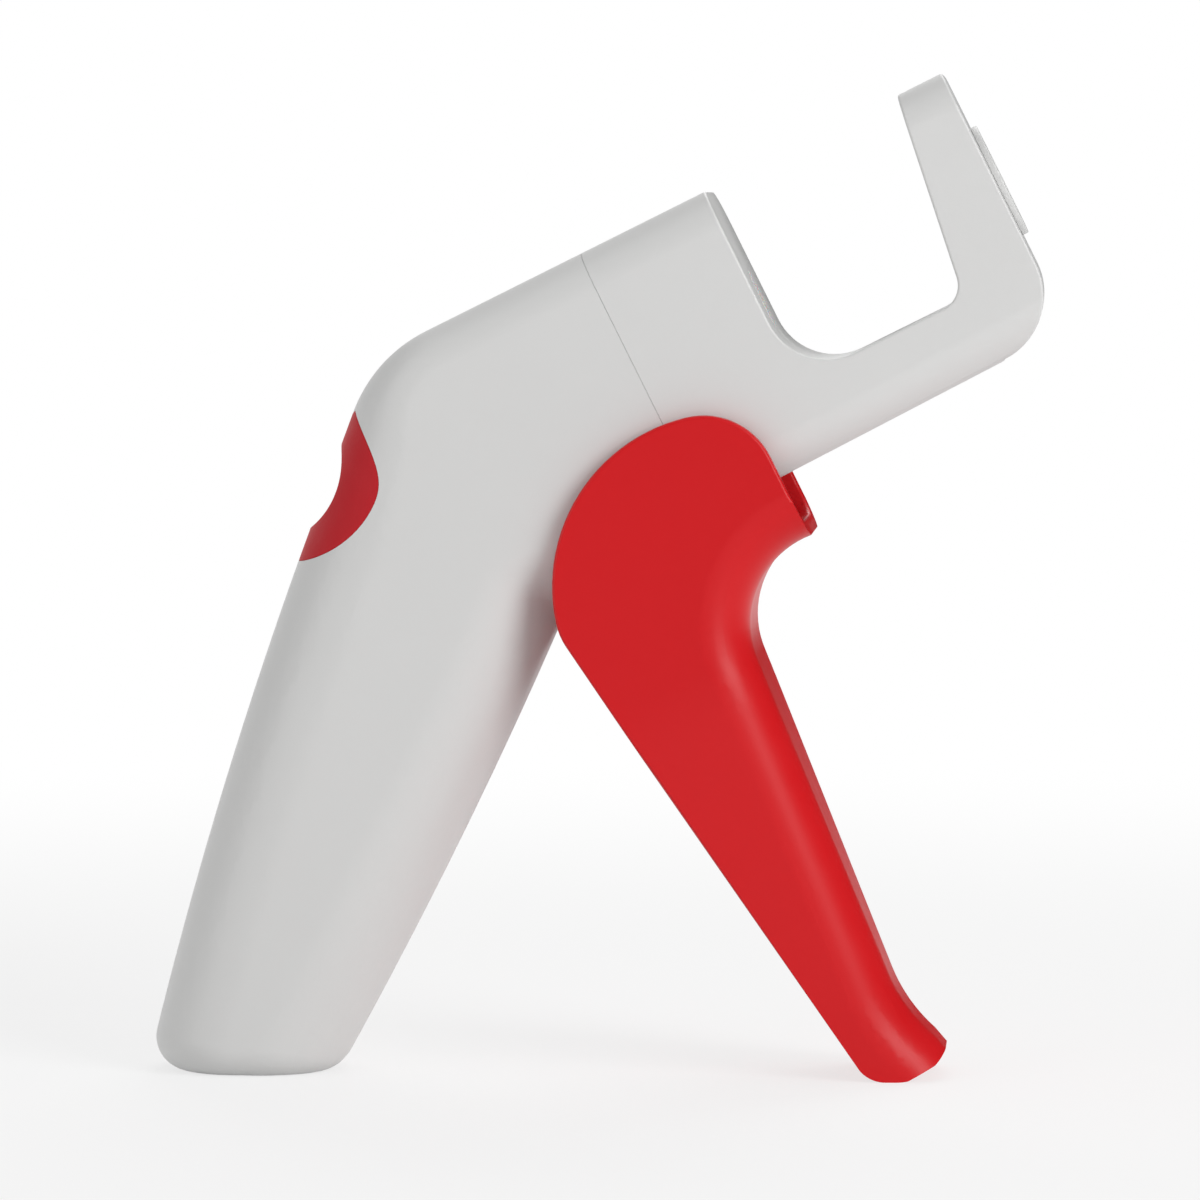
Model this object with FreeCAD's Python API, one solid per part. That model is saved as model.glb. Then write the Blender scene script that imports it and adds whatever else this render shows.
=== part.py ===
"""Hand-held fruit pitter: a hollow elbow handle, an open cradle and a squeeze lever that drives a rod.

X runs forward to the nose, Y across, Z up. The origin is on the floor, under the middle of the outline.
The head has its own axes: s along the rod and h square to it, both from the point over the lever's pivot.
"""
import FreeCAD, Part
import math
import os

V = FreeCAD.Vector

# Driving dimensions in millimetres and degrees
HEAD_TILT = 26.5          # rod axis above the floor plane
PIVOT_X = 16.41           # lever pivot, forward of the origin
PIVOT_Z = 74.6            # lever pivot, above the floor
FORK_REACH = 33.5         # pivot to rod axis
LEVER_TRAVEL = 52.0       # squeeze angle

# Casing
AXIS_TO_TOP = 17.85       # rod axis to the head's top face
AXIS_TO_BOTTOM = 25.2     # rod axis to the head's underside at the seam
NOSE_RISE = 1.2           # the underside rises by this much towards the nose
HEAD_HALF_WIDTH = 16.0
PLAN_DROP = 6.0           # how far below the elbow the handle starts to narrow
HEAD_EDGE_R = 6.0
HANDLE_EDGE_R = 12.6
HEAD_FAN = 126.0          # the rounding grows between these two directions from the crotch
HANDLE_FAN = 150.0
EDGE_FOLLOW = 0.9         # how much of an inset the inner edges' radii give up
CORE_RIB = 8.5            # how far the handle's core keeps off its rounded corners
WALL = 2.4
SEAM_S = 5.2              # parting line between body and nose
BEND_S = -20.6            # where the head's top face turns into the elbow
BEND_R = 23.3
CROTCH_S = -17.5          # where the underside meets the handle's front
CROTCH_R = 14.0
BASE_HALF_WIDTH = 14.6
HANDLE_BACK_R = 742.0     # long radius of the handle's back
HANDLE_FRONT_R = 794.0    # long radius of the handle's front
BACK_TURN = 158.3         # direction of the bend's lower end
BASE_BACK_X = -67.99      # back of the handle at the floor
BASE_FRONT_X = -38.99     # front of the handle at the floor
BASE_EDGE_R = 5.0
CAP_INSET = 6.8           # base opening, inside the handle's outline
CAP_THICK = 2.4
CAP_SKIRT = 6.0

# Cradle and arm
FRONT_WALL_S = 25.9       # face of the head behind the fruit
FRONT_WALL = 3.4
ARM_INNER_S = 54.9        # arm's inner face, on the rod axis
ARM_OUTER_S = 64.8
ARM_DRAFT = 8.0           # lean of the arm's inner face
CRADLE_RIM_H = -13.3      # rim of the cradle, below the rod axis
CRADLE_BACK_R = 9.5
CRADLE_FRONT_R = 3.8
NOSE_CORNER_R = 10.5
SEAT_S = 40.6             # centre of the scooped seat
SEAT_H = -0.6
SEAT_R = 15.8
SPIGOT = 6.0              # nose spigot inside the body
SPIGOT_WALL = 1.6

# Fits and clearances
SNAP_GAP = 0.15           # moulded parts that slip together
RUN_GAP = 0.05            # radial, pins and rod in their bores
SLIDE_GAP = 0.3           # carriage in its guide, and plates beside each other
CHEEK_GAP = 0.4           # lever cheeks beside the head
FORK_GAP = 0.6            # fork slot beside the roller

# Drive
ROD_R = 2.5
ROD_TAIL = 8.0            # rod behind the drive pin
ROD_RECESS = 2.4          # rod tip behind the front wall's face at rest
ROD_FLUTE_R = 0.9
DRIVE_PIN_R = 1.5
ROLLER_R = 2.6
PIVOT_PIN_R = 2.0
LUG_R = 5.0
LUG_THICK = 3.0
FORK_THICK = 3.2
PRONG = 2.0
PRONG_TIP = 5.3           # fork tip beyond the roller's middle position
WEB_HALF = 3.6            # carriage's middle web
SLOT_HALF = 7.4           # outer side of the carriage's fork slots
CARRIAGE_HALF_WIDTH = 9.2
CARRIAGE_BACK = 11.5
CARRIAGE_FRONT = 4.6
CARRIAGE_TOP = 11.0
CARRIAGE_BOTTOM = -9.0
CARRIAGE_CROWN = 3.0
GUIDE_WALL = 2.0
GUIDE_BACK_S = -30.4
GUIDE_FRONT_S = 20.4
GUIDE_FOOT = 5.0          # length of the guide's side feet
MOUTH_BACK = 13.2         # fork opening behind the pivot, along the underside
MOUTH_FRONT = 12.2
BUSH_R = 4.6
BUMPER_R = 3.7
SEAL_THICK = 1.2
EXIT_R = 5.8
EXIT_RING_R = 8.85
EXIT_RING_PROUD = 1.0
EXIT_SLEEVE_R = 7.2
EXIT_SLEEVE = 4.5

# Lever, whose side outline is given from the pivot
CHEEK_THICK = 2.6
LEVER_WALL = 2.4
HUB_R = 25.65
HUB_X = 3.75
HUB_Z = -0.65
HUB_FRONT_S = 17.4        # straight front edge of the cheeks
HUB_CORNER_R = 11.0
HUB_HEEL_R = 10.0
FINGER_X = 20.85
FINGER_Z = -6.25
FINGER_R = 13.8
FRONT_LEAN = 22.3
BACK_LEAN = 34.3
BACK_EDGE = 24.5          # straight back edge, from the hub's centre
FRONT_RUN = 51.5          # length of the straight front edge
FLARE_R = 24.0
FLARE_TURN = 27.0
TIP_X = 36.0              # front lip, from the pivot
TIP_RISE = 4.3            # front lip above the floor
LEVER_TIP_HALF_WIDTH = 11.6
TAPER_START = 16.0
TAPER_END = 80.0
TAPER_R = 70.0
GRIP_R = 7.5              # rounding along the finger side
SOLE_R = 5.0
TOE_R = 8.2               # the tip's underside, from the lip down to the floor
FORK_SCREW_R = 1.5
FORK_SCREW_HEAD_R = 2.8
FORK_SCREW_HEAD = 1.6
FORK_BOSS_R = 3.4
FORK_BOSS = 2.6
TAIL_LENGTH = 17.0
TAIL_THICK = 2.4
PIVOT_BOSS_R = 5.2
BUSHING_R = 3.2

# Return spring on the pivot pin
SPRING_WIRE_R = 0.55
SLEEVE_R = 2.85
SPRING_COIL_R = 3.6
SPRING_PITCH = 1.55
SPRING_TURNS = 3

# Thumb pad, a soft saddle let into the elbow
PAD_DEPTH = 4.4
PAD_GROOVE_R = 11.7
PAD_GROOVE_S = -51.2
PAD_GROOVE_H = 11.0

HALF_TRAVEL = math.radians(LEVER_TRAVEL / 2)
STROKE = 2 * FORK_REACH * math.tan(HALF_TRAVEL)
REST_S = -STROKE / 2
LUG_INNER = SLOT_HALF + RUN_GAP
LUG_OUTER = LUG_INNER + LUG_THICK
CHEEK_INNER = HEAD_HALF_WIDTH + CHEEK_GAP
CHEEK_OUTER = CHEEK_INNER + CHEEK_THICK
FORK_INNER = WEB_HALF + SLIDE_GAP
FORK_OUTER = FORK_INNER + FORK_THICK
BOSS_FACE = LUG_OUTER + SLIDE_GAP
CAVITY_END_S = FRONT_WALL_S - FRONT_WALL
SPIGOT_BORE = WALL + SNAP_GAP + SPIGOT_WALL

TILT = math.radians(HEAD_TILT)
ALONG = V(math.cos(TILT), 0, math.sin(TILT))
ACROSS = V(0, 1, 0)
UP = V(-math.sin(TILT), 0, math.cos(TILT))
PIVOT = V(PIVOT_X, 0, PIVOT_Z)
HEAD_O = PIVOT + UP * FORK_REACH


def head(s, h, y=0.0):
    """A point given in the head's own axes."""
    return HEAD_O + ALONG * s + UP * h + ACROSS * y


def head_box(s0, s1, h0, h1, y0, y1):
    corners = [head(s0, h0, y0), head(s1, h0, y0), head(s1, h1, y0), head(s0, h1, y0)]
    return Part.Face(Part.makePolygon(corners + corners[:1])).extrude(ACROSS * (y1 - y0))


def head_rod(radius, s0, s1, h=0.0):
    return Part.makeCylinder(radius, s1 - s0, head(s0, h), ALONG)


def cross_rod(radius, centre, y0, y1):
    return Part.makeCylinder(radius, y1 - y0, centre + ACROSS * y0, ACROSS)


def both_sides(shape):
    """A shape and its mirror image across the middle plane, as one group of solids."""
    return Part.makeCompound([shape, shape.mirror(V(0, 0, 0), ACROSS)])


def turned(direction, degrees):
    """A direction in the side plane, turned the way the lever is squeezed."""
    return FreeCAD.Rotation(ACROSS, degrees).multVec(direction)


def prism(outline, half_width):
    """A closed side outline of edges, extruded to both sides of the middle plane."""
    face = Part.Face(Part.Wire(Part.__sortEdges__(outline)))
    face.translate(ACROSS * -half_width)
    return face.extrude(ACROSS * (2 * half_width))


def polygon_prism(points, half_width):
    runs = zip(points, points[1:] + points[:1])
    return prism([Part.makeLine(a, b) for a, b in runs], half_width)


def round_at(shape, spots, radius):
    """Round the cross-wise edges that pass through the given spots of the side view."""
    chosen = []
    for edge in shape.Edges:
        middle = edge.valueAt((edge.FirstParameter + edge.LastParameter) / 2)
        flat = V(middle.x, 0, middle.z)
        run = edge.Vertexes[-1].Point - edge.Vertexes[0].Point
        if abs(run.y) > 0.98 * run.Length and min((flat - spot).Length for spot in spots) < 0.1:
            chosen.append(edge)
    return shape.makeFillet(radius, chosen)


# Casing
def underside(s):
    """Height of the head's underside, which rises towards the nose."""
    return -AXIS_TO_BOTTOM + NOSE_RISE * (s - SEAM_S) / (ARM_OUTER_S - SEAM_S)


def shallow_arc(start, end, radius, bulge):
    """An arc of a long radius between two points, bulging towards a direction."""
    chord = end - start
    sag = radius - math.sqrt(radius ** 2 - (chord.Length / 2) ** 2)
    normal = V(chord.z, 0, -chord.x).normalize()
    if normal.dot(bulge) < 0:
        normal = normal * -1
    return Part.Arc(start, (start + end) * 0.5 + normal * sag, end).toShape()


def crotch_centre():
    """Centre of the arc behind the lever, which the bend's rounding fans out from."""
    crotch = head(CROTCH_S, underside(CROTCH_S))
    down = (V(BASE_FRONT_X, 0, 0) - crotch).normalize()
    forward = (head(SEAM_S, underside(SEAM_S)) - crotch).normalize()
    half_angle = down.getAngle(forward) / 2
    return crotch + (down + forward).normalize() * (CROTCH_R / math.sin(half_angle))


def casing_outline(front_s, inset):
    """Side outline of handle, elbow and head up to a place on the rod axis, drawn in by an inset."""
    crotch = head(CROTCH_S, underside(CROTCH_S))
    centre = crotch_centre()
    down = (V(BASE_FRONT_X, 0, 0) - crotch).normalize()
    forward = (head(front_s, underside(front_s)) - crotch).normalize()
    run = CROTCH_R / math.tan(down.getAngle(forward) / 2)
    nearest = centre + (crotch - centre).normalize() * CROTCH_R
    base_front = V(BASE_FRONT_X, 0, 0)
    base_back = V(BASE_BACK_X, 0, 0)
    bend = head(BEND_S, AXIS_TO_TOP - BEND_R)
    low = math.radians(BACK_TURN)
    middle = (low + math.radians(90 + HEAD_TILT)) / 2
    bend_low = bend + V(math.cos(low), 0, math.sin(low)) * BEND_R
    bend_middle = bend + V(math.cos(middle), 0, math.sin(middle)) * BEND_R
    bend_top = head(BEND_S, AXIS_TO_TOP)
    edges = [
        shallow_arc(base_front, crotch + down * run, HANDLE_FRONT_R, V(1, 0, 0)),
        Part.Arc(crotch + down * run, nearest, crotch + forward * run).toShape(),
        Part.makeLine(crotch + forward * run, head(front_s, underside(front_s))),
        Part.makeLine(head(front_s, underside(front_s)), head(front_s, AXIS_TO_TOP)),
        Part.makeLine(head(front_s, AXIS_TO_TOP), bend_top),
        Part.Arc(bend_top, bend_middle, bend_low).toShape(),
        shallow_arc(bend_low, base_back, HANDLE_BACK_R, V(-1, 0, 0)),
        Part.makeLine(base_back, base_front),
    ]
    face = Part.Face(Part.Wire(Part.__sortEdges__(edges)))
    if inset:
        face = Part.Face(face.makeOffset2D(-inset).OuterWire)
    return face


def casing_plan(inset):
    """Plan of the casing: parallel along the head, then drawn in to the base by a long arc."""
    base = V((BASE_BACK_X + BASE_FRONT_X) / 2, 0, 0)
    top = (head(CROTCH_S, underside(CROTCH_S)) + head(BEND_S - BEND_R, AXIS_TO_TOP - BEND_R)) * 0.5
    down = (base - top).normalize()
    top = top + down * PLAN_DROP
    square = V(-down.z, 0, down.x)
    length = (base - top).Length
    sweep = length ** 2 / (2 * (HEAD_HALF_WIDTH - BASE_HALF_WIDTH))
    reach = length * 1.3

    def at(d, side):
        taper = sweep - math.sqrt(sweep ** 2 - max(d, 0) ** 2)
        return top + down * d + ACROSS * (side * (HEAD_HALF_WIDTH - inset - taper)) - square * 150

    edges = [
        Part.makeLine(at(-150, 1), at(0, 1)),
        Part.Arc(at(0, 1), at(reach / 2, 1), at(reach, 1)).toShape(),
        Part.makeLine(at(reach, 1), at(reach, -1)),
        Part.Arc(at(reach, -1), at(reach / 2, -1), at(0, -1)).toShape(),
        Part.makeLine(at(0, -1), at(-150, -1)),
        Part.makeLine(at(-150, -1), at(-150, 1)),
    ]
    return Part.Face(Part.Wire(edges)).extrude(square * 300)


def round_edges(shape, spec):
    """Fillet each numbered edge with its own radius at either end."""
    sheet = FreeCAD.newDocument("rounding")
    source = sheet.addObject("Part::Feature", "source")
    source.Shape = shape
    fillet = sheet.addObject("Part::Fillet", "fillet")
    fillet.Base = source
    fillet.Edges = spec
    sheet.recompute()
    result = fillet.Shape.copy()
    FreeCAD.closeDocument(sheet.Name)
    return result


def edge_chains(numbered):
    """Sort numbered edges into the chains that they form end to end."""
    chains = []
    for number, edge in numbered:
        spots = [v.Point for v in edge.Vertexes]
        touching = [c for c in chains if any((p - q).Length < 0.01 for p in spots for q in c["spots"])]
        joined = {"members": [(number, edge)], "spots": spots}
        for chain in touching:
            joined["members"] = chain["members"] + joined["members"]
            joined["spots"] = chain["spots"] + joined["spots"]
            chains.remove(chain)
        chains.append(joined)
    return [sorted(c["members"], key=lambda member: member[0]) for c in chains]


def casing(front_s=SEAM_S, inset=0.0):
    """The closed casing: fully rounded along the handle, with tighter edges along the head."""
    face = casing_outline(front_s, inset)
    outline = face.OuterWire.copy()
    face.translate(ACROSS * -30)
    solid = face.extrude(ACROSS * 60).common(casing_plan(inset))
    centre = crotch_centre()

    def fan(point):
        return math.degrees(math.atan2(point.z - centre.z, point.x - centre.x)) % 360

    def radius_at(angle):
        share = min(max((angle - HEAD_FAN) / (HANDLE_FAN - HEAD_FAN), 0), 1)
        return HEAD_EDGE_R + (HANDLE_EDGE_R - HEAD_EDGE_R) * share - inset * EDGE_FOLLOW

    flank = []
    for number, edge in enumerate(solid.Edges, 1):
        middle = edge.valueAt((edge.FirstParameter + edge.LastParameter) / 2)
        on_outline = Part.Vertex(V(middle.x, 0, middle.z)).distToShape(outline)[0] < 0.01
        on_end = (middle - head(front_s - inset, 0)).dot(ALONG) > -0.5 or middle.z < inset + 0.1
        if on_outline and abs(middle.y) > HEAD_HALF_WIDTH / 2 and not on_end:
            flank.append((number, edge))
    spec = []
    for chain in edge_chains(flank):
        lead = chain[0][1]
        from_head = fan(lead.valueAt(lead.FirstParameter)) < fan(lead.valueAt(lead.LastParameter))
        for number, edge in chain:
            near, far = sorted(fan(v.Point) for v in edge.Vertexes)
            ends = (near, far) if from_head else (far, near)
            spec.append((number, radius_at(ends[0]), radius_at(ends[1])))
    return round_edges(solid, spec)


def fork_mouth():
    """The opening in the underside that the fork swings in."""
    ceiling = CARRIAGE_BOTTOM - GUIDE_WALL - 2
    return head_box(-MOUTH_BACK, MOUTH_FRONT, underside(0) - 2, ceiling, -SLOT_HALF, SLOT_HALF)


def base_plug(inset, height):
    """A short bar with the rounded outline of the handle's base, drawn in by an inset."""
    low = BASE_BACK_X + inset
    deep = BASE_FRONT_X - BASE_BACK_X - 2 * inset
    half = BASE_HALF_WIDTH - inset
    bar = Part.makeBox(deep, 2 * half, height, V(low, -half, 0))
    upright = [e for e in bar.Edges if abs(e.Vertexes[0].Z - e.Vertexes[-1].Z) > height / 2]
    return bar.makeFillet(HANDLE_EDGE_R - inset, upright)


def head_core(inset, s0, s1):
    """A bar with the head's own section, drawn in by an inset."""
    corners = [
        head(s0, underside(s0) + inset), head(s1, underside(s1) + inset),
        head(s1, AXIS_TO_TOP - inset), head(s0, AXIS_TO_TOP - inset),
    ]
    bar = polygon_prism(corners, HEAD_HALF_WIDTH - inset)
    runs = [(e, e.Vertexes[1].Point - e.Vertexes[0].Point) for e in bar.Edges]
    long_edges = [e for e, run in runs if abs(run.dot(ALONG)) > 0.9 * (s1 - s0)]
    return bar.makeFillet(HEAD_EDGE_R - inset * EDGE_FOLLOW, long_edges)


# Thumb pad
def pad_outline():
    """The pad's edge in side view, a rounded bow that closes behind the elbow."""
    top = head(-35.4, 12.0)
    low = head(-53.4, -4.3)
    spots = [top, head(-35.5, 4.6), head(-36.7, 0.1), head(-39.4, -2.5), head(-45.9, -4.9), low]
    behind = head(-62.0, 6.0)
    bow = Part.BSplineCurve()
    bow.interpolate(spots)
    return [bow.toShape(), Part.makeLine(low, behind), Part.makeLine(behind, top)]


def pad_window():
    return prism(pad_outline(), HEAD_HALF_WIDTH + 5)


def make_thumb_pad(outer):
    groove = cross_rod(PAD_GROOVE_R, head(PAD_GROOVE_S, PAD_GROOVE_H), -30, 30)
    inside = side_prism(SEAM_S, PAD_DEPTH, HEAD_HALF_WIDTH - PAD_DEPTH)
    return outer.common(pad_window()).cut(inside).cut(groove)


# Casing pieces
def make_lug():
    """One of the two plates that carry the pivot pin under the head."""
    root = -FORK_REACH + LUG_R
    plate = [
        head(-10.5, underside(0) + WALL), head(SEAM_S - 0.4, underside(0) + WALL),
        head(SEAM_S - 0.4, underside(0) - 1.0), head(LUG_R, -FORK_REACH), head(-LUG_R, -FORK_REACH),
        head(-10.5, underside(0) - 1.0),
    ]
    lug = polygon_prism(plate, LUG_THICK / 2)
    lug = lug.fuse(cross_rod(LUG_R, PIVOT, -LUG_THICK / 2, LUG_THICK / 2))
    lug.translate(ACROSS * (LUG_INNER + LUG_THICK / 2))
    return lug


def side_prism(front_s, inset, half_width):
    """The casing's side outline, drawn in by an inset, as a flat-sided bar."""
    face = casing_outline(front_s, inset)
    face.translate(ACROSS * -half_width)
    return face.extrude(ACROSS * 2 * half_width)


def head_bore(inset, back_s, front_s):
    """The head's section drawn in by an inset, closed by the elbow's curve behind."""
    return head_core(inset, back_s, front_s).common(side_prism(front_s + inset + 1, inset, HEAD_HALF_WIDTH))


def body_cavity():
    """Room inside: the head's bore, and a cross-shaped core that leaves ribs in the handle's corners."""
    room = head_bore(WALL, GUIDE_BACK_S - SLIDE_GAP, SEAM_S + 1)
    room = room.fuse(side_prism(SEAM_S, WALL, BASE_HALF_WIDTH - CORE_RIB))
    return room.fuse(side_prism(SEAM_S, CORE_RIB, BASE_HALF_WIDTH - WALL))


def make_body_shell(outer):
    shell = outer.cut(body_cavity()).cut(base_plug(CAP_INSET, CAP_SKIRT + SLIDE_GAP))
    shell = shell.cut(pad_window()).cut(fork_mouth())
    for lug in both_sides(make_lug()).Solids:
        shell = shell.fuse(lug)
    return shell.cut(cross_rod(PIVOT_PIN_R + RUN_GAP, PIVOT, -LUG_OUTER - 1, LUG_OUTER + 1)).removeSplitter()


def make_bottom_cap():
    inset = CAP_INSET + SNAP_GAP
    plate = base_plug(inset, CAP_THICK)
    skirt = base_plug(inset, CAP_SKIRT).cut(base_plug(inset + WALL, CAP_SKIRT))
    return plate.fuse(skirt).removeSplitter()


def cradle_notch():
    """Side outline of the space for the fruit, open at the top."""
    draft = math.tan(math.radians(ARM_DRAFT))
    above = AXIS_TO_TOP + 6
    corners = [
        head(FRONT_WALL_S, above), head(FRONT_WALL_S, CRADLE_RIM_H),
        head(ARM_INNER_S + CRADLE_RIM_H * draft, CRADLE_RIM_H), head(ARM_INNER_S + above * draft, above),
    ]
    notch = polygon_prism(corners, HEAD_HALF_WIDTH + 4)
    notch = round_at(notch, [corners[1]], CRADLE_BACK_R)
    return round_at(notch, [corners[2]], CRADLE_FRONT_R)


def make_nose():
    far = ARM_OUTER_S
    outer = head_core(0, SEAM_S, far)
    low = underside(far)
    round_centre = head(far - NOSE_CORNER_R, low + NOSE_CORNER_R)
    square = head_box(far - NOSE_CORNER_R, far + 1, low - 2, low + NOSE_CORNER_R, -20, 20)
    outer = outer.cut(square.cut(cross_rod(NOSE_CORNER_R, round_centre, -20, 20)))
    nose = outer.cut(cradle_notch())
    seat = Part.makeSphere(SEAT_R, head(SEAT_S, SEAT_H))
    nose = nose.cut(seat)
    tube = head_core(WALL + SNAP_GAP, SEAM_S - SPIGOT, SEAM_S + 1)
    cavity = head_core(SPIGOT_BORE, SEAM_S - SPIGOT, CAVITY_END_S)
    nose = nose.fuse(tube).cut(cavity).cut(fork_mouth())
    nose = nose.cut(head_rod(BUSH_R, CAVITY_END_S - 1, FRONT_WALL_S + 1))
    nose = nose.cut(head_rod(EXIT_R, ARM_INNER_S - 5, ARM_OUTER_S + 1))
    return nose.cut(head_rod(EXIT_SLEEVE_R, ARM_OUTER_S - EXIT_SLEEVE, ARM_OUTER_S + 1))


def make_exit_ring():
    ring = head_rod(EXIT_RING_R, ARM_OUTER_S, ARM_OUTER_S + EXIT_RING_PROUD)
    ring = ring.fuse(head_rod(EXIT_SLEEVE_R, ARM_OUTER_S - EXIT_SLEEVE, ARM_OUTER_S))
    return ring.cut(head_rod(EXIT_R, ARM_OUTER_S - EXIT_SLEEVE - 1, ARM_OUTER_S + EXIT_RING_PROUD + 1))


# Drive
def make_guide():
    """A rail tube for the carriage, open along its underside where the fork comes in."""
    half = CARRIAGE_HALF_WIDTH + SLIDE_GAP
    low = CARRIAGE_BOTTOM - SLIDE_GAP
    wall = GUIDE_WALL
    core = head_core(SPIGOT_BORE + SLIDE_GAP, GUIDE_BACK_S, GUIDE_FRONT_S)
    reach = half + wall
    tube = core.common(head_box(GUIDE_BACK_S, GUIDE_FRONT_S, low - wall, AXIS_TO_TOP, -reach, reach))
    room = head_core(SPIGOT_BORE + wall, GUIDE_BACK_S + wall, GUIDE_FRONT_S + 1)
    room = room.common(head_box(GUIDE_BACK_S + wall, GUIDE_FRONT_S + 1, low, AXIS_TO_TOP, -half, half))
    tube = tube.cut(room)
    tube = tube.cut(head_box(GUIDE_BACK_S + wall, GUIDE_FRONT_S + 1, low - wall - 1, low + 1,
                             -SLOT_HALF, SLOT_HALF))
    foot = head_box(GUIDE_BACK_S, GUIDE_BACK_S + GUIDE_FOOT, low, 0, half + wall - 0.5,
                    HEAD_HALF_WIDTH - WALL - 2 * SLIDE_GAP)
    for piece in both_sides(foot).Solids:
        tube = tube.fuse(piece)
    return tube.common(head_bore(WALL + SLIDE_GAP, GUIDE_BACK_S, GUIDE_FRONT_S)).removeSplitter()


def make_carriage():
    """A block with two open slots for the fork's arms, and a middle web that holds the rod."""
    block = head_box(REST_S - CARRIAGE_BACK, REST_S + CARRIAGE_FRONT, CARRIAGE_BOTTOM, CARRIAGE_TOP,
                     -CARRIAGE_HALF_WIDTH, CARRIAGE_HALF_WIDTH)
    slot = head_box(REST_S - CARRIAGE_BACK - 1, REST_S + CARRIAGE_FRONT + 1, CARRIAGE_BOTTOM - 1,
                    CARRIAGE_TOP - CARRIAGE_CROWN, WEB_HALF, SLOT_HALF)
    for side in both_sides(slot).Solids:
        block = block.cut(side)
    block = block.common(head_core(SPIGOT_BORE + GUIDE_WALL + SLIDE_GAP, REST_S - CARRIAGE_BACK - 1, 0))
    block = block.cut(head_rod(ROD_R, REST_S - ROD_TAIL, REST_S + CARRIAGE_FRONT + 1))
    half = CARRIAGE_HALF_WIDTH + 1
    return block.cut(cross_rod(DRIVE_PIN_R, head(REST_S, 0), -half, half))


def make_rod():
    tip = FRONT_WALL_S - ROD_RECESS
    rod = head_rod(ROD_R, REST_S - ROD_TAIL, tip)
    for i in range(4):
        angle = math.radians(45 + 90 * i)
        centre = head(tip - 6, ROD_R * math.sin(angle), ROD_R * math.cos(angle))
        rod = rod.cut(Part.makeCylinder(ROD_FLUTE_R, 10, centre, ALONG))
    return rod.cut(cross_rod(DRIVE_PIN_R, head(REST_S, 0), -ROD_R - 1, ROD_R + 1))


def make_rod_bush():
    """The plain bearing pressed into the front wall from inside."""
    bush = head_rod(BUSH_R, CAVITY_END_S, FRONT_WALL_S - SEAL_THICK)
    return bush.cut(head_rod(ROD_R + RUN_GAP, CAVITY_END_S - 1, FRONT_WALL_S + 1))


def make_rod_seal():
    """The wiper in the front wall's face that keeps juice out of the head."""
    seal = head_rod(BUSH_R, FRONT_WALL_S - SEAL_THICK, FRONT_WALL_S)
    return seal.cut(head_rod(ROD_R + RUN_GAP, CAVITY_END_S, FRONT_WALL_S + 1))


def make_rod_bumper():
    """The ring that cushions the carriage at the end of its stroke."""
    face = REST_S + STROKE + CARRIAGE_FRONT + SLIDE_GAP
    bumper = head_rod(BUMPER_R, face, CAVITY_END_S)
    return bumper.cut(head_rod(ROD_R + SLIDE_GAP, face - 1, CAVITY_END_S + 1))


def make_rollers():
    roller = cross_rod(ROLLER_R, head(REST_S, 0), WEB_HALF + SLIDE_GAP / 2, SLOT_HALF - SLIDE_GAP / 2)
    roller = roller.cut(cross_rod(DRIVE_PIN_R + RUN_GAP, head(REST_S, 0), 0, SLOT_HALF + 1))
    return both_sides(roller)


def make_fork():
    """Two slotted arms on the pivot, joined by a tail plate that is screwed inside the lever."""
    arm_dir = turned(UP, -LEVER_TRAVEL / 2)
    arm_side = turned(ALONG, -LEVER_TRAVEL / 2)
    half = ROLLER_R + FORK_GAP
    wide = half + PRONG
    tip = FORK_REACH + PRONG_TIP
    slot_start = FORK_REACH - ROLLER_R - 2 * FORK_GAP
    arm = polygon_prism([
        PIVOT + arm_side * -LUG_R, PIVOT + arm_side * LUG_R,
        PIVOT + arm_side * wide + arm_dir * (slot_start - 6), PIVOT + arm_side * wide + arm_dir * tip,
        PIVOT + arm_side * -wide + arm_dir * tip, PIVOT + arm_side * -wide + arm_dir * (slot_start - 6),
    ], FORK_THICK / 2)
    slot = polygon_prism([
        PIVOT + arm_side * half + arm_dir * slot_start, PIVOT + arm_side * half + arm_dir * (tip + 1),
        PIVOT + arm_side * -half + arm_dir * (tip + 1), PIVOT + arm_side * -half + arm_dir * slot_start,
    ], FORK_THICK)
    face = tail_frame(FORK_BOSS)
    shank = polygon_prism([
        PIVOT + V(-LUG_R, 0, 0), PIVOT + V(LUG_R * 0.6, 0, LUG_R * 0.2), face(0, 0), face(TAIL_LENGTH, 0),
        face(TAIL_LENGTH, TAIL_THICK), face(2, TAIL_THICK + 3),
    ], FORK_THICK / 2)
    arm = arm.cut(slot).fuse(cross_rod(LUG_R, PIVOT, -FORK_THICK / 2, FORK_THICK / 2)).fuse(shank)
    arm.translate(ACROSS * (FORK_INNER + FORK_THICK / 2))
    corners = [face(0, 0), face(TAIL_LENGTH, 0), face(TAIL_LENGTH, TAIL_THICK), face(0, TAIL_THICK)]
    fork = polygon_prism(corners, FORK_OUTER)
    for side in both_sides(arm).Solids:
        fork = fork.fuse(side)
    fork = fork.cut(cross_rod(PIVOT_PIN_R + RUN_GAP, PIVOT, -FORK_OUTER - 1, FORK_OUTER + 1))
    for along in screw_places():
        fork = fork.cut(Part.makeCylinder(FORK_SCREW_R, 20, face(along, -10), face_normal()))
    return fork.removeSplitter()


# Lever
FINGER = PIVOT + V(FINGER_X, 0, FINGER_Z)
HUB = PIVOT + V(HUB_X, 0, HUB_Z)
FRONT_DIR = V(math.sin(math.radians(FRONT_LEAN)), 0, -math.cos(math.radians(FRONT_LEAN)))
BACK_DIR = V(math.sin(math.radians(BACK_LEAN)), 0, -math.cos(math.radians(BACK_LEAN)))


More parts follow.
